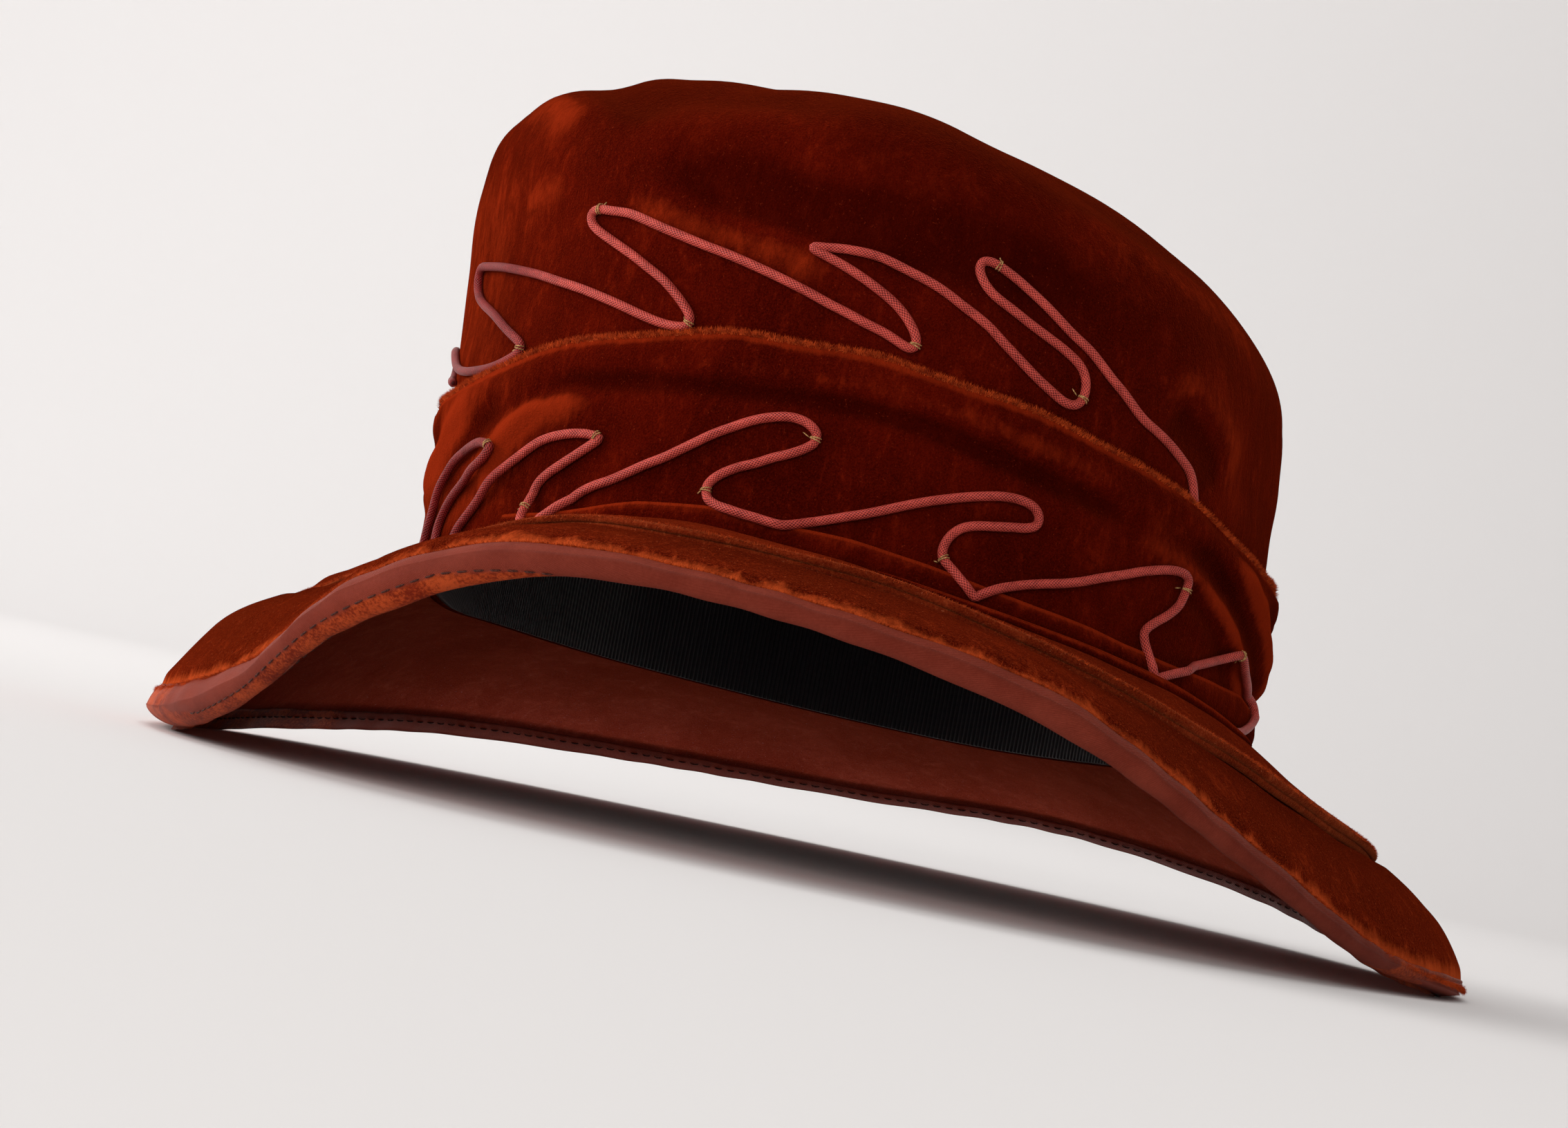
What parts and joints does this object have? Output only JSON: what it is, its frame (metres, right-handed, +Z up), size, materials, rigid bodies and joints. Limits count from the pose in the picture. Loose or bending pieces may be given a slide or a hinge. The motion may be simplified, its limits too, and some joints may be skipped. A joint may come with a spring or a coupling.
{
  "type": "cloche hat",
  "caption": "Soft velvet cloche hat with a leaning crown, a draped band, a drooping bound brim and couched cord loops.",
  "frame": {"origin": "centre of the bounding box in X and Y, on the surface that the brim rests on", "axes": "+Z up as the hat rests, -Y towards the front of the hat, +X towards the wearer's left"},
  "size_m": [0.2918, 0.3176, 0.1599],
  "materials": {
    "velvet": "rust brown velvet pile",
    "velvet_light": "rust brown velvet pile, lit along the brim",
    "binding": "dull brown satin bias strip",
    "cord": "dusty rose satin cord",
    "ribbon": "black ribbed ribbon"
  },
  "bodies": {
    "root": {"crown": "velvet", "draped_band": "velvet", "band_pleat": "velvet", "brim": "velvet_light", "brim_fold": "velvet_light", "brim_binding": "binding", "sweatband": "ribbon", "crown_cord": "cord", "crown_cord_back": "cord", "band_cord": "cord", "band_cord_back": "cord"}
  },
  "joints": []
}
